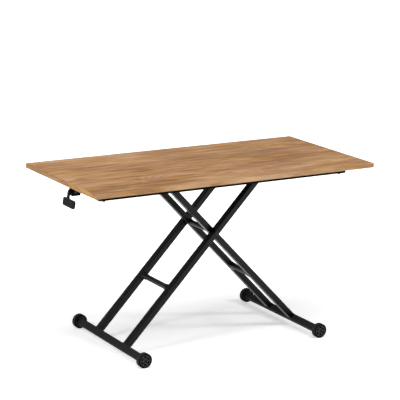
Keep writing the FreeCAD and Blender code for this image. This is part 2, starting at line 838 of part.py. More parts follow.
def lever_pin():
    pin = round_y(lever_pin_radius, lever_x, lever_z, -bracket_half, bracket_half)
    head = round_y(lever_pin_head_radius, lever_x, lever_z, bracket_half, bracket_half + lever_pin_head)
    return fuse_all([pin] + both_sides(head))


save("lever_bracket", lever_bracket())
save("rod_anchor", rod_anchor())
save("rod_nuts", rod_nut(anchor_left - nut_height), rod_nut(anchor_right))
save("lever_pin", lever_pin())


# Release lever: a finger on the rod's release pin above the hub, and a stem and paddle below it.

def release_pin():
    cap_right = pin_end_x + release_pin_cap
    stem = round_x(release_pin_radius, 0, axle_z, pin_end_x, pin_end_x + release_pin_length)
    cap = round_x(release_pin_radius + release_pin_cap, 0, axle_z, pin_end_x, cap_right)
    return stem.fuse(cap).removeSplitter()


def lever_arm():
    """The bent knee in side view, from the top of the stem over the hub, and the finger on the pin."""
    half_hub = bracket_inner_width / 2 - touch_gap
    tilt = math.radians(lever_tilt)
    knee_low = lever_z - stem_bend
    inside = lever_outside - stem_bend * math.tan(tilt) + stem_depth / math.cos(tilt)
    finger_low = lever_x - finger_depth / 2
    side = [
        (lever_outside, 0, lever_z), (lever_outside, 0, knee_low), (inside, 0, knee_low),
        (lever_x, 0, lever_z - lever_hub_radius), (lever_x, 0, axle_z), (finger_low, 0, axle_z)]
    arm = outline_face(side).extrude(vec(0, stem_width, 0))
    arm.translate(vec(0, stem_offset - stem_width / 2, 0))
    hub = round_y(lever_hub_radius, lever_x, lever_z, -half_hub, half_hub)
    finger = block(
        finger_low, finger_low + finger_depth, -finger_width / 2, finger_width / 2, lever_z,
        axle_z + finger_tip)
    nose_x = pin_end_x - touch_gap - finger_tip
    nose = round_y(finger_tip, nose_x, axle_z, -finger_width / 2, finger_width / 2)
    return [arm, hub, finger, nose]


def stem_and_paddle():
    """A stem with a dished plate of round corners across its foot, tipped outwards from the knee."""
    outside = lever_outside
    high = lever_z - paddle_drop + paddle_height / 2
    low = high - paddle_height
    stem_front = stem_offset - stem_width / 2
    stem_rear = stem_offset + stem_width / 2
    front = paddle_offset - paddle_width / 2
    rear = paddle_offset + paddle_width / 2
    corners = [
        (outside, stem_front, lever_z), (outside, stem_front, high), (outside, front, high),
        (outside, front, low), (outside, rear, low), (outside, rear, high), (outside, stem_rear, high),
        (outside, stem_rear, lever_z)]
    plate = outline_face(corners).extrude(vec(stem_depth, 0, 0))
    plate = rounded(plate, paddle_corner, is_paddle_edge)
    plate = rounded(plate, stem_fillet, lambda edge: is_stem_foot(edge, high))
    dish = block(
        outside, outside + paddle_dish, front + paddle_rim, rear - paddle_rim, low + paddle_rim,
        high - paddle_rim)
    dish = rounded(dish, paddle_corner - paddle_rim, lambda edge: runs_along(edge, ALONG_X))
    plate = plate.cut(dish)
    plate.rotate(vec(outside, 0, lever_z), ALONG_Y, lever_tilt)
    return plate


def is_paddle_edge(edge):
    from_middle = abs(edge.CenterOfMass.y - paddle_offset)
    return runs_along(edge, ALONG_X) and abs(from_middle - paddle_width / 2) < seat_fit


def is_stem_foot(edge, high):
    """The inner corners between the stem and the plate's upper edge."""
    beside_stem = abs(abs(edge.CenterOfMass.y - stem_offset) - stem_width / 2) < seat_fit
    return runs_along(edge, ALONG_X) and beside_stem and abs(edge.CenterOfMass.z - high) < seat_fit


def release_lever():
    body = fuse_all(lever_arm() + [stem_and_paddle()])
    return body.cut(round_y(lever_pin_radius + running_fit, lever_x, lever_z, -bracket_half, bracket_half))


save("release_pin", release_pin())
save("release_lever", release_lever())
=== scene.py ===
import json
import math
import random

import bmesh
import bpy
from mathutils import Euler, Matrix, Vector


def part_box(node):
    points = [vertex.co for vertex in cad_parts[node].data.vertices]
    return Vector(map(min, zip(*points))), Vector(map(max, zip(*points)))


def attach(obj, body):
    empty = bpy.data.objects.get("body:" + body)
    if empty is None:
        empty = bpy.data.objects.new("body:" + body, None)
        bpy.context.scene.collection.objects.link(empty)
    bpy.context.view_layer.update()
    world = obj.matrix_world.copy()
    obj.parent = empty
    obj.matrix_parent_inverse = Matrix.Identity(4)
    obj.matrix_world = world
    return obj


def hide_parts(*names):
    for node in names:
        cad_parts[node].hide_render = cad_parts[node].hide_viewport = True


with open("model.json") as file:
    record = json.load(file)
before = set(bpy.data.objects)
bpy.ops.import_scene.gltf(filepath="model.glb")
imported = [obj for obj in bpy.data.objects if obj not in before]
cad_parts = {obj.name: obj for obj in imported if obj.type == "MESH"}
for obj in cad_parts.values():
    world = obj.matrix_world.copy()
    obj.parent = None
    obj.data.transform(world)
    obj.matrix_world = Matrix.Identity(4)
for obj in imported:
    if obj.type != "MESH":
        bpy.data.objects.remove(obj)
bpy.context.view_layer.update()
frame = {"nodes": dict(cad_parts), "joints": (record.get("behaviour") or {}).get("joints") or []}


# Board: a flat pressed panel with oak decor above, screwed to the rails, and painted dark below as the shade
# under it.
# The decor is a printed sheet under satin resin, with its grain along the length.
# Its pores are shallow and its knots lie flat.

# Most of a noise texture lies between these two values.
noise_low = 0.30
noise_high = 0.70
face_shades = ((0.0, (138, 96, 60)), (0.40, (173, 130, 91)), (0.64, (190, 148, 108)), (1.0, (212, 173, 132)))
# Dark shades painted on the faces that look down, standing in for the shade under the board.
painted_underside_shades = ((noise_low, (26, 24, 23)), (noise_high, (36, 34, 32)))
# The painted shade below is where a face looks down, and ends as the face turns between these.
painted_underside_turn = (-0.9, -0.5)
decor_shine = 0.22
decor_rough = (0.52, 0.66)
# Each size in the figure is a length along the grain and a width across it.
plank_size = (0.50, 0.16)
streak_size = (0.15, 0.024)
streak_span = (0.25, 0.75)
ring_size = (0.80, 0.130)
ring_count = 13.0
ring_wobble = 0.012
late_wood_edge = 2.2
mottle_size = (0.17, 0.032)
mottle_depth = (0.90, 1.14)
mottle_tint = (0.4945, 0.5105)
fibre_size = (0.070, 0.0022)
pore_size = (0.016, 0.0008)
pore_span = (0.60, 0.72)
pore_depth = 0.00012
# How much each part of the figure lightens or darkens the print.
base_tone = -0.38
plank_tone = 0.35
streak_tone = 0.75
late_wood_tone = -0.26
fibre_tone = 0.42
pore_tone = -0.20
heart_tone = -0.75
# Each knot is the x and y of its middle, and the length and width of the swirl round it.
knots = ((-0.349, -0.147, 0.060, 0.065), (-0.535, -0.045, 0.150, 0.050), (0.330, 0.180, 0.090, 0.024),
         (0.105, -0.235, 0.060, 0.016))
knot_rings = 0.16
knot_heart = (0.08, 0.22)


def colour(red, green, blue):
    """A colour as it looks on a screen, in the linear values that a shader takes."""
    parts = []
    for value in (red, green, blue):
        level = value / 255
        parts.append(level / 12.92 if level <= 0.04045 else ((level + 0.055) / 1.055) ** 2.4)
    return (*parts, 1.0)


def new_finish(name, settings):
    """A material with one shader, its plain settings on the shader's own sockets."""
    finish = bpy.data.materials.new(name)
    finish.use_nodes = True
    shader = finish.node_tree.nodes["Principled BSDF"]
    for socket, value in settings.items():
        shader.inputs[socket].default_value = value
    return finish


def add(finish, kind, inputs, **settings):
    """Add a node, each of its inputs a plain value or another node's output."""
    node = finish.node_tree.nodes.new("ShaderNode" + kind)
    for name, value in settings.items():
        setattr(node, name, value)
    for name, value in inputs.items():
        if isinstance(value, bpy.types.NodeSocket):
            finish.node_tree.links.new(value, node.inputs[name])
        else:
            node.inputs[name].default_value = value
    return node


def drive(finish, socket, value):
    """Let a texture set one socket of the finish's shader."""
    shader = finish.node_tree.nodes["Principled BSDF"]
    finish.node_tree.links.new(value, shader.inputs[socket])


def object_place(finish):
    return add(finish, "TexCoord", {}).outputs["Object"]


def facing(finish, axis):
    """How far a face looks along one axis of its piece, from -1 to 1."""
    normal = add(finish, "TexCoord", {}).outputs["Normal"]
    return add(finish, "SeparateXYZ", {"Vector": normal}).outputs[axis]


def noise(finish, place, detail=2.0, roughness=0.5):
    settings = {"Vector": place, "Scale": 1.0, "Detail": detail, "Roughness": roughness}
    return add(finish, "TexNoise", settings).outputs["Fac"]


def grain_place(finish, place, along, size):
    """Coordinates in which a streak of this length and width counts as one unit each way."""
    length, width = size
    scale = [1 / width] * 3
    scale[along] = 1 / length
    return add(finish, "Mapping", {"Vector": place, "Scale": scale}).outputs["Vector"]


def spread(finish, value, low, high, to_low=0.0, to_high=1.0):
    """Stretch the part of a texture between low and high to the new limits."""
    limits = {"Value": value, "From Min": low, "From Max": high, "To Min": to_low, "To Max": to_high}
    return add(finish, "MapRange", limits).outputs["Result"]


def reckon(finish, operation, *values):
    """One step of arithmetic on textures and plain values."""
    return add(finish, "Math", dict(enumerate(values)), operation=operation).outputs["Value"]


def sum_up(finish, base, *parts):
    """A base plus each texture times its weight."""
    total = base
    for texture, weight in parts:
        total = reckon(finish, "MULTIPLY_ADD", texture, weight, total)
    return total


def ramp(finish, value, stops):
    """Colours along a texture's value, as pairs of position and screen colour."""
    node = add(finish, "ValToRGB", {"Fac": value})
    elements = node.color_ramp.elements
    while len(elements) < len(stops):
        elements.new(0.5)
    for element, (position, shade) in zip(elements, stops):
        element.position = position
        element.color = colour(*shade)
    return node.outputs["Color"]


def bump(finish, height, distance, strength=1.0):
    node = add(finish, "Bump", {"Height": height, "Distance": distance, "Strength": strength})
    drive(finish, "Normal", node.outputs["Normal"])


def mix_shades(finish, factor, first, second):
    """The first shade where the factor is 0 and the second where it is 1."""
    factor_in, first_in, second_in, shade_out = 0, 6, 7, 2
    node = add(finish, "Mix", {factor_in: factor, first_in: first, second_in: second}, data_type="RGBA")
    return node.outputs[shade_out]


def oak_decor(name, along, shades, painted_underside=None):
    """Oak print from dark to pale shades, its grain along axis 0 (X) or 1 (Y), with any painted shade below.
    """
    finish = new_finish(name, {"Specular IOR Level": decor_shine})
    place = object_place(finish)
    streaks = noise(finish, grain_place(finish, place, along, streak_size), 4.0, 0.6)
    rings = noise(finish, grain_place(finish, place, along, ring_size), 1.5)
    fibre = noise(finish, grain_place(finish, place, along, fibre_size), 3.0, 0.65)
    pores = spread(finish, noise(finish, grain_place(finish, place, along, pore_size), 1.0), *pore_span)
    hearts = 0.0
    for x, y, length, width in knots:
        scale = Vector((1 / length, 1 / width, 0.0))
        shift = Vector((-x / length, -y / width, 0.0))
        around = add(finish, "Mapping", {"Vector": place, "Location": shift, "Scale": scale})
        reach = add(finish, "VectorMath", {0: around.outputs["Vector"]}, operation="LENGTH").outputs["Value"]
        swell = reckon(finish, "MULTIPLY_ADD", reach, reach, 1.0)
        swirl = reckon(finish, "DIVIDE", 1.0, swell)
        rings = sum_up(finish, rings, (swirl, knot_rings))
        hearts = sum_up(finish, hearts, (spread(finish, reach, *knot_heart, 1.0, 0.0), 1.0))
    counted = reckon(finish, "MULTIPLY", sum_up(finish, rings, (fibre, ring_wobble)), ring_count)
    within = reckon(finish, "FRACT", counted)
    late_wood = reckon(finish, "POWER", within, late_wood_edge)
    planks = noise(finish, grain_place(finish, place, along, plank_size), 1.0)
    tone = sum_up(
        finish, base_tone, (spread(finish, planks, noise_low, noise_high), plank_tone),
        (spread(finish, streaks, *streak_span), streak_tone), (late_wood, late_wood_tone),
        (spread(finish, fibre, noise_low, noise_high), fibre_tone), (pores, pore_tone), (hearts, heart_tone))
    mottle = noise(finish, grain_place(finish, place, along, mottle_size), 3.0, 0.6)
    depth = spread(finish, mottle, noise_low, noise_high, *mottle_depth)
    tint = spread(finish, mottle, noise_low, noise_high, *mottle_tint)
    print_shade = ramp(finish, tone, shades)
    stained = add(finish, "HueSaturation", {"Hue": tint, "Saturation": depth, "Color": print_shade})
    sheet = stained.outputs["Color"]
    # Faces that look down take the painted shade of the board's underside.
    if painted_underside:
        below = spread(finish, facing(finish, "Z"), *painted_underside_turn, 1.0, 0.0)
        sheet = mix_shades(finish, below, sheet, ramp(finish, fibre, painted_underside))
    drive(finish, "Base Color", sheet)
    drive(finish, "Roughness", spread(finish, fibre, noise_low, noise_high, *decor_rough))
    bump(finish, pores, -pore_depth)
    return finish


def dress(finish, *nodes):
    """Give CAD nodes their finish."""
    for node in nodes:
        frame["nodes"][node].data.materials[0] = finish


dress(oak_decor("oak_decor_face", 0, face_shades, painted_underside_shades), "table_top")


# Edge bands: four strips of the same oak print, glued round the board and trimmed flush.
# The print runs the way each strip does, so on the ends it is across the board.
# All four are painted a little paler than the face, painted light for the light on the edges.

# Shades paler than the face's: painted light on the front, rear and end edges.
band_painted_light_shades = (
    (0.0, (156, 115, 78)), (0.40, (187, 148, 110)), (0.64, (201, 162, 123)), (1.0, (218, 181, 143)))
end_painted_light_shades = (
    (0.0, (156, 112, 70)), (0.40, (195, 150, 104)), (0.64, (213, 168, 121)), (1.0, (234, 192, 147)))

dress(oak_decor("oak_decor_long_band", 0, band_painted_light_shades), "edge_band_front", "edge_band_rear")
dress(oak_decor("oak_decor_end_band", 1, end_painted_light_shades), "edge_band_left", "edge_band_right")


# Rails: channels welded from steel strip, powder coated black and screwed flat under the board, the coat
# painted darker there as shade.
# A moulded plug closes each end, held from below by a button-head bolt.

# The rails' coat is darker and less shiny than the legs': painted shade under the board's overhang.
rail_deep = (1, 1, 1)
rail_lit = (3, 3, 3)
rail_shine = 0.03
rail_rough = (0.42, 0.54)
coat_deep = (4, 4, 4)
coat_lit = (8, 8, 8)
coat_shine = 0.17
coat_rough = (0.26, 0.34)
coat_cloud = 0.030
coat_peel = 0.0011
coat_grit = 0.00028
coat_grit_share = 0.45
coat_height = 0.00006
moulding_deep = (10, 10, 11)
moulding_lit = (16, 16, 17)
moulding_shine = 0.38
moulding_rough = (0.48, 0.60)
moulding_grain = 0.0006
moulding_height = 0.00005


def even_place(finish, size):
    """Coordinates in which a speck of this size counts as one unit."""
    return grain_place(finish, object_place(finish), 0, (size, size))


def speckled(name, settings, deep, lit, cloud, rough):
    """A finish whose shade and roughness drift over patches of the cloud's size."""
    finish = new_finish(name, settings)
    patches = noise(finish, even_place(finish, cloud), 4.0, 0.6)
    drive(finish, "Base Color", ramp(finish, patches, ((noise_low, deep), (noise_high, lit))))
    drive(finish, "Roughness", spread(finish, patches, noise_low, noise_high, *rough))
    return finish


def powder_coat(name, deep, lit, shine, rough):
    """Black powder coat: flowed into soft ripples, with a fine grit on top."""
    finish = speckled(name, {"Specular IOR Level": shine}, deep, lit, coat_cloud, rough)
    peel = noise(finish, even_place(finish, coat_peel), 1.0)
    grit = noise(finish, even_place(finish, coat_grit), 1.0)
    bump(finish, sum_up(finish, 0.0, (peel, 1.0), (grit, coat_grit_share)), coat_height)
    return finish


def fine_grained(name, deep, lit, rough, shine=moulding_shine):
    """A skin with a fine even grain, as a moulding has from its tool and a lever from a textured coat."""
    finish = speckled(name, {"Specular IOR Level": shine}, deep, lit, coat_cloud, rough)
    bump(finish, noise(finish, even_place(finish, moulding_grain), 2.0), moulding_height)
    return finish


black_coat = powder_coat("black_powder_coat", coat_deep, coat_lit, coat_shine, coat_rough)
painted_shade_rail_coat = powder_coat("rail_powder_coat_painted_shade", rail_deep, rail_lit, rail_shine, rail_rough)
black_moulding = fine_grained("black_moulding", moulding_deep, moulding_lit, moulding_rough)
dress(painted_shade_rail_coat, "rail_front", "rail_rear")
dress(black_moulding, "rail_end_stops")


# Screws and bolts of the board: cross-recessed pan heads up into the board, button heads under the rail ends.
# They are steel, zinc plated and blackened, with the drive recess pressed into the head.

turn_steps = 24
screw_head = 0.0024
end_bolt_head = 0.0050
zinc_deep = (30, 30, 32)
zinc_lit = (46, 46, 48)
zinc_metal = 0.85
zinc_shine = 0.5
zinc_rough = (0.30, 0.44)
zinc_patch = 0.004
zinc_grain = 0.0005
zinc_height = 0.000025


def black_zinc(name):
    settings = {"Metallic": zinc_metal, "Specular IOR Level": zinc_shine}
    finish = speckled(name, settings, zinc_deep, zinc_lit, zinc_patch, zinc_rough)
    bump(finish, noise(finish, even_place(finish, zinc_grain), 2.0), zinc_height)
    return finish


def circle(angle):
    return 1.0


def hexagon(angle):
    """How far out a hexagon's side is at an angle, for a hexagon one unit from middle to flat."""
    sixth = math.pi / 3
    return 1 / math.cos((angle + sixth / 2) % sixth - sixth / 2)


def cross(angle):
    """How far out a cross recess reaches at an angle, for arms one unit long."""
    arm_half_width = 0.17
    quarter = math.pi / 2
    off = min(angle % quarter, quarter - angle % quarter)
    if off < 0.01:
        return 1.0
    return min(1 / math.cos(off), arm_half_width / math.sin(off))


def join_rings(bm, lower, upper):
    """Faces between two rings of points, either of which may be a single point."""
    count = max(len(lower), len(upper))
    for index in range(count):
        after = (index + 1) % count
        if len(lower) == 1:
            bm.faces.new((lower[0], upper[after], upper[index]))
        elif len(upper) == 1:
            bm.faces.new((lower[index], lower[after], upper[0]))
        else:
            bm.faces.new((lower[index], lower[after], upper[after], upper[index]))


def turn(bm, place, outline, closed=False):
    """Turn an outline of height, radius and section about the Z of a place."""
    rings = []
    for height, radius, section in outline:
        ring = []
        steps = turn_steps if radius else 1
        for index in range(steps):
            angle = 2 * math.pi * index / turn_steps
            reach = radius * section(angle)
            point = Vector((reach * math.cos(angle), reach * math.sin(angle), height))
            ring.append(bm.verts.new(place @ point))
        rings.append(ring)
    for lower, upper in zip(rings, rings[1:]):
        join_rings(bm, lower, upper)
    if closed:
        join_rings(bm, rings[-1], rings[0])


def crowned_head(radius, height, crown):
    """The outline of a head from its seat up over its rounded shoulder."""
    steps = 5
    shoulder = height - crown
    outline = [(0.0, radius, circle), (shoulder, radius, circle)]
    for index in range(1, steps + 1):
        bend = index * math.pi / 2 / steps
        outline.append((shoulder + crown * math.sin(bend), radius - crown + crown * math.cos(bend), circle))
    return outline


def recess(height, reach, depth, section):
    """The outline of a drive recess from the head's face down to its pointed floor."""
    lead = 0.00025
    mouth = 1.16
    taper = 0.94
    point = 1.2
    return [(height, reach * mouth + lead, circle), (height - lead, reach, section),
            (height - depth, reach * taper, section), (height - depth * point, 0.0, circle)]


def shank(radius, length):
    tip = 0.0007
    return [(-length, 0.0, circle), (-length, radius - tip, circle), (tip - length, radius, circle),
            (0.0, radius, circle)]


def solids_of(node):
    """The lowest and highest corners of each separate solid in a CAD node."""
    skin = bmesh.new()
    skin.from_mesh(frame["nodes"][node].data)
    bmesh.ops.remove_doubles(skin, verts=skin.verts, dist=1e-6)
    left = set(skin.verts)
    boxes = []
    while left:
        island = {left.pop()}
        edge_of_search = list(island)
        while edge_of_search:
            for link in edge_of_search.pop().link_edges:
                for point in link.verts:
                    if point in left:
                        left.remove(point)
                        island.add(point)
                        edge_of_search.append(point)
        low = Vector(min(point.co[axis] for point in island) for axis in range(3))
        high = Vector(max(point.co[axis] for point in island) for axis in range(3))
        boxes.append((low, high))
    skin.free()
    return sorted(boxes, key=lambda box: tuple(round(value, 5) for value in box[0]))


def seat_frames(node, outward, head):
    """A frame at the seat of each fastener's head, its Z outwards along the axis, and the shank's length."""
    frames = []
    for low, high in solids_of(node):
        middle = (low + high) / 2
        out = Vector(outward(middle))
        half = abs((high - low).dot(out)) / 2
        seat = middle + out * (half - head)
        turned = out.to_track_quat("Z", "Y").to_matrix().to_4x4()
        frames.append((Matrix.Translation(seat) @ turned, 2 * half - head))
    return frames


def downwards(middle):
    return (0.0, 0.0, -1.0)


def sideways(middle):
    return (0.0, math.copysign(1.0, middle.y), 0.0)


def show(name, bm, finish, body, replaced=(), sharp=32.0):
    """Make a piece of a mesh, smooth but for its sharp edges, and let it ride on its body."""
    bmesh.ops.recalc_face_normals(bm, faces=bm.faces)
    mesh = bpy.data.meshes.new(name)
    bm.to_mesh(mesh)
    bm.free()
    mesh.shade_smooth()
    mesh.set_sharp_from_angle(angle=math.radians(sharp))
    mesh.materials.append(finish)
    piece = bpy.data.objects.new(name, mesh)
    bpy.context.scene.collection.objects.link(piece)
    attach(piece, body)
    if replaced:
        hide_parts(*replaced)
    return piece


def fasteners(name, node, body, outward, head, head_radius, crown, shank_radius, drive_recess):
    """Detailed fasteners in the place of a CAD node's plain ones. A recess is reach, depth and section."""
    bm = bmesh.new()
    for place, length in seat_frames(node, outward, head):
        outline = shank(shank_radius, length) + crowned_head(head_radius, head, crown)
        turn(bm, place, outline + recess(head, *drive_recess))
    return show(name, bm, blackened, body, [node])


blackened = black_zinc("blackened_zinc")
fasteners("pan_head_screws", "board_screws", "top", downwards, screw_head, head_radius=0.0040, crown=0.0012,
          shank_radius=0.0020, drive_recess=(0.0022, 0.0014, cross))
fasteners("rail_end_button_bolts", "rail_end_bolts", "top", downwards, end_bolt_head, head_radius=0.0060,
          crown=0.0025, shank_radius=0.0030, drive_recess=(0.0020, 0.0026, hexagon))


# Fixed upper axle: a drawn steel bar between the rails that the outer legs hang on.
# Sleeves keep the legs in place along it, and a button-head bolt through each rail holds its end.

axle_bolt_head = 0.0044
drawn_deep = (150, 151, 154)
drawn_lit = (190, 191, 194)
drawn_size = (0.120, 0.0005)
drawn_rough = (0.26, 0.40)
drawn_height = 0.00002


def drawn_steel(name, along):
    """Bright steel with the fine lines of the die along its length."""
    finish = new_finish(name, {"Metallic": 1.0})
    lines = noise(finish, grain_place(finish, object_place(finish), along, drawn_size), 3.0, 0.6)
    drive(finish, "Base Color", ramp(finish, lines, ((noise_low, drawn_deep), (noise_high, drawn_lit))))
    drive(finish, "Roughness", spread(finish, lines, noise_low, noise_high, *drawn_rough))
    bump(finish, lines, drawn_height)
    return finish


cross_drawn = drawn_steel("drawn_steel_axle", 1)
dress(cross_drawn, "fixed_axle")
dress(black_coat, "fixed_axle_spacers")
fasteners("axle_button_bolts", "fixed_axle_bolts", "top", sideways, axle_bolt_head, head_radius=0.0070,
          crown=0.0022, shank_radius=0.0030, drive_recess=(0.0025, 0.0026, hexagon))


# Leg frames: flat tubes, a foot bar and a round crossbar with trumpet ends, welded and powder coated black.
# The coat is smooth on the legs and rough on the foot bars.
# The outer pair hangs on the fixed axle, the inner pair on the rolling one.

pins = {joint["name"]: Vector(joint["pos_m"]) for joint in frame["joints"] if "pos_m" in joint}
foot_bar_half = 0.014
leg_half_depth = 0.01175
leg_corner = 0.003
crossbar_collar = 0.0145
crossbar_trim = 0.0004
crossbar_bore = 0.0085
# The trumpet of a crossbar's end, as distances from the end and the radius there.
crossbar_trumpet = (
    (0.0, 0.0145), (0.006, 0.0139), (0.014, 0.0131), (0.022, 0.0122), (0.030, 0.0113), (0.038, 0.0108))
bar_deep = (22, 22, 23)
bar_lit = (30, 30, 31)
bar_shine = 0.36
bar_rough = (0.88, 0.98)
bead_step = 0.0005
bead_sides = 8
# A weld's ripples: how long one is, its least thickness, its swell, and how far it is off at random.
bead_ripple = 0.0021
bead_thin = 0.86
bead_swell = 0.20
bead_off = 0.03
weld_noise = random.Random(7)


def arc_points(middle, first, second, radius, start, end):
    """Points along an arc, from one angle to the other, in the plane of two directions."""
    count = max(3, round(radius * abs(end - start) / bead_step))
    points = []
    for index in range(count):
        angle = start + (end - start) * index / count
        points.append(middle + first * radius * math.cos(angle) + second * radius * math.sin(angle))
    return points


def straight_points(start, end):
    count = max(2, round((end - start).length / bead_step))
    return [start.lerp(end, index / count) for index in range(count)]


def rounded_loop(middle, first, second, half_first, half_second, corner):
    """A closed path round a rectangle with round corners."""
    path = []
    for side, (to_first, to_second) in enumerate(((1, 1), (-1, 1), (-1, -1), (1, -1))):
        start = side * math.pi / 2
        beyond = second * to_second * (half_second - corner)
        centre = middle + first * to_first * (half_first - corner) + beyond
        bend = arc_points(centre, first, second, corner, start, start + math.pi / 2)
        if path:
            path += straight_points(path[-1], bend[0])[1:]
        path += bend
    path += straight_points(path[-1], path[0])[1:]
    return path


def weld_bead(bm, path, radius):
    """A closed weld run: overlapping ripples along the path, each a little different."""
    rings = []
    count = len(path)
    for index, point in enumerate(path):
        ahead = (path[(index + 1) % count] - path[index - 1]).normalized()
        across = ahead.orthogonal().normalized()
        if rings:
            across = (last_across - ahead * last_across.dot(ahead)).normalized()
        last_across = across
        beside = ahead.cross(across)
        ripple = (index * bead_step / bead_ripple) % 1.0
        size = radius * (bead_thin + bead_swell * ripple + weld_noise.uniform(-bead_off, bead_off))
        ring = []
        for step in range(bead_sides):
            angle = 2 * math.pi * step / bead_sides
            ring.append(bm.verts.new(point + (across * math.cos(angle) + beside * math.sin(angle)) * size))
        rings.append(ring)
    for lower, upper in zip(rings, rings[1:]):
        join_rings(bm, lower, upper)
    first, last = rings[0], rings[-1]
    offset = min(range(bead_sides), key=lambda turn_by: (first[turn_by].co - last[0].co).length)
    join_rings(bm, last, first[offset:] + first[:offset])


def collar_loop(middle, along, across):
    """A closed path round a crossbar's opened end, which is trimmed flush with the leg's faces."""
    flush = leg_half_depth - crossbar_trim
    path = []
    for point in arc_points(Vector(), along, across, crossbar_collar, 0, 2 * math.pi):
        off = point.dot(across)
        path.append(middle + point + across * (max(-flush, min(flush, off)) - off))
    return path


def leg_directions(foot_pin, top_pin):
    """Along a pair of legs, beside them and across their depth."""
    along = (pins[top_pin] - pins[foot_pin]) * Vector((1, 0, 1))
    along.normalize()
    beside = Vector((0, 1, 0))
    return along, beside, along.cross(beside)


def flared_crossbar(name, pair, foot_pin, top_pin):
    """A tube between two legs, its ends opened in a trumpet and trimmed flush with the legs' faces."""
    along, beside, across = leg_directions(foot_pin, top_pin)
    low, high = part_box(pair + "_crossbar")
    half = (high.y - low.y) / 2
    outline = [(-half, crossbar_bore)]
    outline += [(inset - half, radius) for inset, radius in crossbar_trumpet]
    outline += [(half - inset, radius) for inset, radius in reversed(crossbar_trumpet)]
    outline += [(half, crossbar_bore)]
    middle = (low + high) / 2
    rings = []
    tube = bmesh.new()
    for place, radius in outline:
        ring = []
        for step in range(2 * turn_steps):
            angle = math.pi * step / turn_steps
            off = max(-leg_half_depth, min(leg_half_depth, radius * math.sin(angle)))
            point = middle + beside * place + along * radius * math.cos(angle) + across * off
            ring.append(tube.verts.new(point))
        rings.append(ring)
    for lower, upper in zip(rings, rings[1:]):
        join_rings(tube, lower, upper)
    join_rings(tube, rings[-1], rings[0])
    show(name, tube, black_coat, pair + "_legs", [pair + "_crossbar"])


def frame_welds(name, pair, foot_pin, top_pin):
    """The beads of one welded leg frame: legs to foot bar, and crossbar to legs."""
    foot_bead = 0.0017
    collar_bead = 0.0011
    along, beside, across = leg_directions(foot_pin, top_pin)
    foot = pins[foot_pin] * Vector((1, 0, 1)) + along * foot_bar_half
    bar_low, bar_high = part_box(pair + "_crossbar")
    bar_middle = (bar_low + bar_high) / 2
    welds = bmesh.new()
    for end in ("front", "rear"):
        leg_low, leg_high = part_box(pair + "_leg_" + end)
        leg = beside * (leg_low.y + leg_high.y) / 2
        half_width = (leg_high.y - leg_low.y) / 2
        foot_loop = rounded_loop(foot + leg, beside, across, half_width, leg_half_depth, leg_corner)
        weld_bead(welds, foot_loop, foot_bead)
        bar_end = beside * (bar_low.y if end == "front" else bar_high.y)
        weld_bead(welds, collar_loop(bar_middle + bar_end, along, across), collar_bead)
    show(name, welds, black_coat, pair + "_legs", sharp=60.0)


dress(black_coat, "outer_leg_front", "outer_leg_rear", "inner_leg_front", "inner_leg_rear", "centre_tube")
bar_coat = powder_coat("bar_powder_coat", bar_deep, bar_lit, bar_shine, bar_rough)
dress(bar_coat, "left_foot_bar", "right_foot_bar")
flared_crossbar("outer_flared_crossbar", "outer", "wheel_left_front_spin", "fold")
flared_crossbar("inner_flared_crossbar", "inner", "wheel_right_front_spin", "carriage_pivot")
frame_welds("outer_frame_welds", "outer", "wheel_left_front_spin", "fold")
frame_welds("inner_frame_welds", "inner", "wheel_right_front_spin", "carriage_pivot")


# Crossing of the legs: a drawn shaft through all four tubes in flanged nylon bushes.
# A domed cap with a hexagon socket screws into each end of the shaft.

nylon_deep = (58, 58, 60)
nylon_lit = (74, 74, 76)
nylon_rough = (0.40, 0.50)
centre_cap_head = 0.0032

nylon = fine_grained("grey_nylon", nylon_deep, nylon_lit, nylon_rough)
dress(nylon, "outer_leg_bushes", "inner_top_bushes", "centre_bushes")
dress(cross_drawn, "centre_shaft")
fasteners("centre_socket_caps", "centre_caps", "outer_legs", sideways, centre_cap_head, head_radius=0.0090,
          crown=0.0019, shank_radius=0.0030, drive_recess=(0.0030, 0.0020, hexagon))


# Wheels: moulded hubs with six glossy spokes, their pockets painted black and dull as shade.
# A soft rubber tyre is cast on each hub, with black side walls and a paler tread.
# Each wheel turns on a shoulder bolt in the foot bar's end plug.

wall_shades = ((noise_low, (1, 1, 1)), (noise_high, (4, 4, 4)))
wall_shine = 0.01
# The tread becomes side wall as the face turns between these towards the axle's direction.
wall_turn = (0.3, 0.8)
tread_shades = ((noise_low, (32, 32, 33)), (noise_high, (46, 46, 47)))
tread_shine = 0.24
# The pockets are painted near black and dull: painted shade in the hub's recesses.
pocket_painted_shades = ((noise_low, (1, 1, 1)), (noise_high, (3, 3, 3)))
pocket_shine = 0.02
spoke_shades = ((noise_low, (35, 35, 36)), (noise_high, (48, 48, 49)))
spoke_shine = 0.36
# The pockets' floor and the spokes' face, as distances from the wheel's middle.
hub_span = (0.0045, 0.0103)
hub_rough = (0.36, 0.48)
rubber_rough = (0.66, 0.82)
rubber_scuff = 0.009
rubber_grain = 0.0009
rubber_height = 0.00008
wheel_head = 0.0030


def spoked_hub(name):
    """Moulding with glossy spokes and pockets painted black as shade, told apart by how far they are from the
    middle.
    """
    low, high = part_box("wheel_left_rear_tyre")
    finish = new_finish(name, {})
    across = add(finish, "SeparateXYZ", {"Vector": object_place(finish)}).outputs["Y"]
    outwards = reckon(finish, "ABSOLUTE", across)
    off = sum_up(finish, -(low.y + high.y) / 2, (outwards, 1.0))
    depth = reckon(finish, "ABSOLUTE", off)
    patches = noise(finish, even_place(finish, rubber_scuff), 4.0, 0.6)
    pockets = ramp(finish, patches, pocket_painted_shades)
    spokes = ramp(finish, patches, spoke_shades)
    drive(finish, "Base Color", mix_shades(finish, spread(finish, depth, *hub_span), pockets, spokes))
    drive(finish, "Specular IOR Level", spread(finish, depth, *hub_span, pocket_shine, spoke_shine))
    drive(finish, "Roughness", spread(finish, patches, noise_low, noise_high, *hub_rough))
    bump(finish, noise(finish, even_place(finish, moulding_grain), 2.0), moulding_height)
    return finish


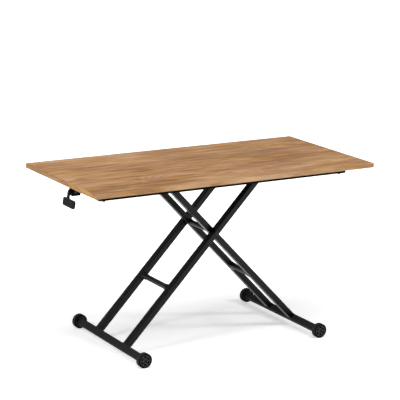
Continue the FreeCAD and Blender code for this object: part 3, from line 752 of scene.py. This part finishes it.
def tyre_rubber(name):
    """Rubber with a black side wall, where the face looks along the axle, and a paler tread."""
    finish = new_finish(name, {})
    sidewise = reckon(finish, "ABSOLUTE", facing(finish, "Y"))
    scuffs = noise(finish, even_place(finish, rubber_scuff), 4.0, 0.6)
    tread = ramp(finish, scuffs, tread_shades)
    wall = ramp(finish, scuffs, wall_shades)
    drive(finish, "Base Color", mix_shades(finish, spread(finish, sidewise, *wall_turn), tread, wall))
    drive(finish, "Specular IOR Level", spread(finish, sidewise, *wall_turn, tread_shine, wall_shine))
    drive(finish, "Roughness", spread(finish, scuffs, noise_low, noise_high, *rubber_rough))
    bump(finish, noise(finish, even_place(finish, rubber_grain), 3.0, 0.7), rubber_height)
    return finish


rubber = tyre_rubber("soft_rubber")
hub_moulding = spoked_hub("hub_moulding")
for foot in ("left", "right"):
    for end in ("front", "rear"):
        dress(hub_moulding, "wheel_" + foot + "_" + end + "_hub")
        dress(rubber, "wheel_" + foot + "_" + end + "_tyre")
dress(black_moulding, "left_foot_plugs", "right_foot_plugs")
for foot, legs in (("left", "outer_legs"), ("right", "inner_legs")):
    fasteners(foot + "_wheel_shoulder_bolts", foot + "_wheel_axles", legs, sideways, wheel_head,
              head_radius=0.0070, crown=0.0018, shank_radius=0.0040, drive_recess=(0.0025, 0.0018, hexagon))


# Rolling carriage: a steel block round the neck of the gas spring, powder coated black.
# A half axle on each side goes to a nylon roller in the rail.
# The inner legs hang on the half axles, kept in place by sleeves.

dress(black_coat, "carriage_block", "carriage_spacers")
dress(cross_drawn, "carriage_axle_front", "carriage_axle_rear")
dress(nylon, "roller_front", "roller_rear")


# Gas spring: a black cylinder on the carriage, and a hard-chromed rod held in the lever bracket by two nuts.
# A release pin through the rod's bored tip opens the valve.

chrome_deep = (196, 198, 202)
chrome_lit = (214, 216, 220)
chrome_size = (0.03, 0.0015)
chrome_rough = (0.08, 0.15)
thread_pitch = 0.00125
thread_height = 0.00035
thread_foot = 0.42
thread_sink = 0.0001
thread_steps = 20
thread_inset = 0.0010
thread_past_nuts = 0.0090
nut_flat = 0.0085
nut_face = 0.98
nut_bevel = 0.0011


def hard_chrome(name):
    finish = new_finish(name, {"Metallic": 1.0})
    lines = noise(finish, grain_place(finish, object_place(finish), 1, chrome_size), 3.0, 0.6)
    drive(finish, "Base Color", ramp(finish, lines, ((noise_low, chrome_deep), (noise_high, chrome_lit))))
    drive(finish, "Roughness", spread(finish, lines, noise_low, noise_high, *chrome_rough))
    return finish


def thread(bm, start, end, radius, axis_z):
    """A screw thread's ridge along X, running out to nothing at both ends."""
    turns = (end - start - thread_pitch) / thread_pitch
    count = round(turns * thread_steps)
    rings = []
    for index in range(count + 1):
        angle = 2 * math.pi * index / thread_steps
        run_out = min(1.0, index / thread_steps, (count - index) / thread_steps)
        x = start + thread_pitch / 2 + thread_pitch * index / thread_steps
        radial = Vector((0, math.cos(angle), math.sin(angle)))
        middle = Vector((x, 0, axis_z)) + radial * radius
        lie = Vector((thread_pitch * thread_foot, 0, 0))
        crest = radial * thread_height * run_out
        root = radial * -thread_sink
        rings.append([bm.verts.new(middle + offset) for offset in (root - lie, root + lie, crest)])
    for lower, upper in zip(rings, rings[1:]):
        join_rings(bm, lower, upper)
    bm.faces.new(rings[0])
    bm.faces.new(rings[-1])


def hex_nut(bm, low, high):
    """A hexagon nut with both faces bevelled, bored for the rod."""
    bore = 0.00505
    lead = 0.0006
    face = nut_flat * nut_face
    height = high.x - low.x
    middle = (low + high) / 2
    place = Matrix.Translation((low.x, middle.y, middle.z)) @ Matrix.Rotation(math.pi / 2, 4, "Y")
    turn(bm, place, [
        (lead, bore, circle), (0.0, bore + lead, circle), (0.0, face, circle), (nut_bevel, nut_flat, hexagon),
        (height - nut_bevel, nut_flat, hexagon), (height, face, circle), (height, bore + lead, circle),
        (height - lead, bore, circle)], closed=True)


chrome = hard_chrome("hard_chrome")
dress(black_coat, "gas_cylinder")
dress(drawn_steel("drawn_steel_gland", 0), "gas_gland", "gas_piston")
dress(chrome, "gas_rod", "release_pin")
nut_boxes = solids_of("rod_nuts")
nuts = bmesh.new()
for nut_low, nut_high in nut_boxes:
    hex_nut(nuts, nut_low, nut_high)
show("bevelled_rod_nuts", nuts, blackened, "top", ["rod_nuts"], sharp=25.0)
rod_low, rod_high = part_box("gas_rod")
rod_radius = (rod_high.z - rod_low.z) / 2
rod_z = (rod_high.z + rod_low.z) / 2
ridges = bmesh.new()
thread(ridges, rod_low.x + thread_inset, nut_boxes[0][0].x, rod_radius, rod_z)
thread(ridges, nut_boxes[1][1].x, nut_boxes[1][1].x + thread_past_nuts, rod_radius, rod_z)
show("rod_thread", ridges, chrome, "top", sharp=20.0)


# Lever bracket and release lever: a folded channel under the board, and a bent lever with a dished paddle.
# The lever turns on a pin through the bracket.
# Pulling the paddle swings the lever's finger against the release pin.

lever_deep = (4, 4, 4)
lever_lit = (9, 9, 9)
lever_shine = 0.08
lever_rough = (0.50, 0.60)
lever_round = 0.0009
bracket_round = 0.0004
round_steps = 3
ease_from = math.radians(40)
weld_within = 0.00001


def soften(width, *nodes):
    """Ease the sharp edges of CAD nodes, as tumbling and the coat do."""
    for node in nodes:
        piece = frame["nodes"][node]
        joined = piece.modifiers.new("joined", "WELD")
        joined.merge_threshold = weld_within
        eased = piece.modifiers.new("eased", "BEVEL")
        eased.width = width
        eased.segments = round_steps
        eased.limit_method = "ANGLE"
        eased.angle_limit = ease_from
        eased.harden_normals = True


# The bracket and anchor take the rails' darker coat, painted shade under the board.
dress(painted_shade_rail_coat, "lever_bracket", "rod_anchor")
dress(fine_grained("lever_coat", lever_deep, lever_lit, lever_rough, lever_shine), "release_lever")
dress(blackened, "lever_pin")
soften(lever_round, "release_lever")
soften(bracket_round, "lever_bracket", "rod_anchor", "carriage_block")


# Studio: a pale floor that runs far back, a long softbox overhead and a dim ceiling.
# Two small lamps make the shadows, and a weak fill stands in front.
# The camera stands left of the front, a little above the board, with a long lens and a slight lean.

floor_half = 22.0
floor_bounce = (0.80, 0.80, 0.80, 1.0)
floor_shade = (0.95, 0.95, 0.95, 1.0)
near_lift = 0.435
far_lift = 1.0
near_reach = 0.7
far_reach = 2.4
horizon_light = 1.0
ceiling_light = 0.18
horizon_height = 0.03
ceiling_height = 0.45
lamp_aim = Vector((0.0, 0.0, 0.45))
# Each lamp has a place, a size and a power.
# They are the softbox, the small lamps at the left and right, and the front fill.
lamps = (((-0.50, -1.00, 5.00), (7.4, 3.0), 215.0), ((-3.00, -0.80, 2.20), (0.5, 0.5), 26.0),
         ((2.88, -2.08, 2.40), (0.6, 0.6), 40.0), ((-1.20, -5.00, 1.15), (2.1, 2.1), 24.0))
camera_place = (-3.1444, -5.4389, 2.0287)
camera_turn = math.radians(-30.017)
camera_tilt = math.radians(13.362)
camera_lean = math.radians(0.703)
camera_lens = 150.27
camera_film = 36.0


def floor_finish():
    """Pale matt floor, which the camera and shiny pieces see lifted to white but for the shadows."""
    finish = bpy.data.materials.new("studio_floor")
    finish.use_nodes = True
    finish.node_tree.nodes.clear()
    bounce = add(finish, "BsdfDiffuse", {"Color": floor_bounce}).outputs["BSDF"]
    shade = add(finish, "BsdfDiffuse", {"Color": floor_shade}).outputs["BSDF"]
    reach = add(finish, "VectorMath", {0: object_place(finish)}, operation="LENGTH").outputs["Value"]
    level = spread(finish, reach, near_reach, far_reach, near_lift, far_lift)
    lift = add(finish, "Emission", {"Strength": level}).outputs["Emission"]
    seen = add(finish, "AddShader", {0: shade, 1: lift}).outputs["Shader"]
    path = add(finish, "LightPath", {})
    shiny = reckon(finish, "MAXIMUM", path.outputs["Is Glossy Ray"], path.outputs["Is Transmission Ray"])
    direct = reckon(finish, "MAXIMUM", path.outputs["Is Camera Ray"], shiny)
    mixed = add(finish, "MixShader", {0: direct, 1: bounce, 2: seen}).outputs["Shader"]
    add(finish, "OutputMaterial", {"Surface": mixed})
    return finish


floor_mesh = bpy.data.meshes.new("studio_floor")
corners = [(-floor_half, -floor_half, 0), (floor_half, -floor_half, 0), (floor_half, floor_half, 0),
           (-floor_half, floor_half, 0)]
floor_mesh.from_pydata(corners, [], [(0, 1, 2, 3)])
floor_mesh.materials.append(floor_finish())
floor = bpy.data.objects.new("studio_floor", floor_mesh)
bpy.context.scene.collection.objects.link(floor)

world = bpy.data.worlds.new("studio_light")
bpy.context.scene.world = world
world.use_nodes = True
world.node_tree.nodes.clear()
direction = add(world, "TexCoord", {}).outputs["Generated"]
height = add(world, "SeparateXYZ", {"Vector": direction}).outputs["Z"]
glow = spread(world, height, horizon_height, ceiling_height, horizon_light, ceiling_light)
sky = add(world, "Background", {"Color": (1, 1, 1, 1), "Strength": glow}).outputs["Background"]
add(world, "OutputWorld", {"Surface": sky})

for lamp_place, lamp_size, lamp_power in lamps:
    lamp_data = bpy.data.lights.new("soft_lamp", "AREA")
    lamp_data.shape = "RECTANGLE"
    lamp_data.size, lamp_data.size_y = lamp_size
    lamp_data.energy = lamp_power
    lamp = bpy.data.objects.new("soft_lamp", lamp_data)
    lamp.location = lamp_place
    lamp.rotation_euler = (lamp_aim - lamp.location).to_track_quat("-Z", "Y").to_euler()
    bpy.context.scene.collection.objects.link(lamp)

camera_data = bpy.data.cameras.new("photo_camera")
camera_data.sensor_width = camera_film
camera_data.lens = camera_lens
camera = bpy.data.objects.new("photo_camera", camera_data)
camera.location = camera_place
upright = Euler((math.pi / 2 - camera_tilt, 0.0, camera_turn)).to_matrix()
camera.rotation_euler = (upright @ Matrix.Rotation(camera_lean, 3, "Z")).to_euler()
bpy.context.scene.collection.objects.link(camera)
bpy.context.scene.camera = camera
bpy.context.scene.view_settings.view_transform = "Standard"
